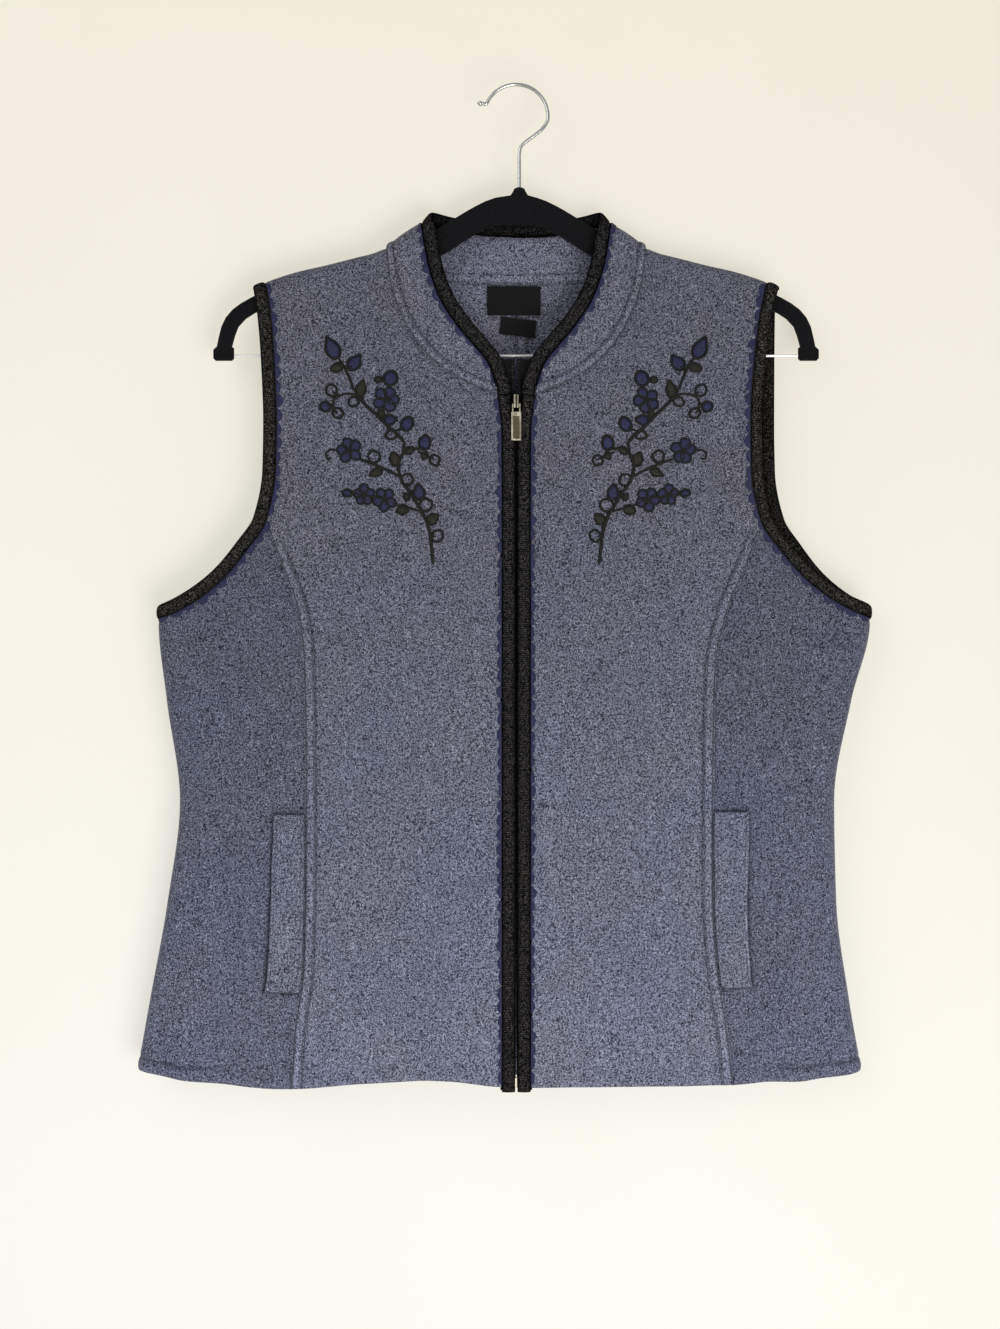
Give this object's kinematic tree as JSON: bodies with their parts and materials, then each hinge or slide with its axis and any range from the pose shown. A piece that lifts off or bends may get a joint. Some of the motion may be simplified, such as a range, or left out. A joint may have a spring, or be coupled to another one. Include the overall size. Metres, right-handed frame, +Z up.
{
  "type": "embroidered vest on clothes hanger",
  "caption": "Sleeveless zip-front wool vest with a low stand collar, knit bindings, princess seams and embroidered flowers, hanging open-bottomed on a flocked clothes hanger.",
  "frame": {"origin": "the point where the hanger's hook rests on its support, inside the top of the hook's bend", "axes": "+Z up, along the hanging vest; +X to the wearer's left; -Y out of the vest's front"},
  "size_m": [0.5396, 0.0499, 0.7375],
  "materials": {
    "wool": "slate-blue heathered boiled wool",
    "knit trim": "charcoal heather knit",
    "zip tape": "black woven tape",
    "antique brass": "antique pale brass",
    "label": "black satin weave, blank",
    "flock": "black flocked velvet",
    "chrome": "polished wire"
  },
  "bodies": {
    "vest": {"front_right": "wool", "front_left": "wool", "side_front_right": "wool", "side_front_left": "wool", "back_right": "wool", "back_left": "wool", "collar": "wool", "neck_binding": "knit trim", "front_binding_right": "knit trim", "front_binding_left": "knit trim", "armhole_binding_right": "knit trim", "armhole_binding_left": "knit trim", "welt_right": "wool", "welt_left": "wool", "zip_tape_right": "zip tape", "zip_tape_left": "zip tape", "zip_slider": "antique brass", "zip_retainer": "antique brass", "neck_label": "label", "care_label": "label", "hanger_body": "flock", "hanger_hook": "chrome", "hanger_bar": "chrome"},
    "pull": {"zip_pull": "antique brass"}
  },
  "joints": [
    {"name": "pull_swing", "type": "hinge", "parent": "vest", "child": "pull", "pos_m": [0, -0.0208, -0.2399], "axis": [-1, 0, 0], "range_deg": [0, 120]}
  ]
}
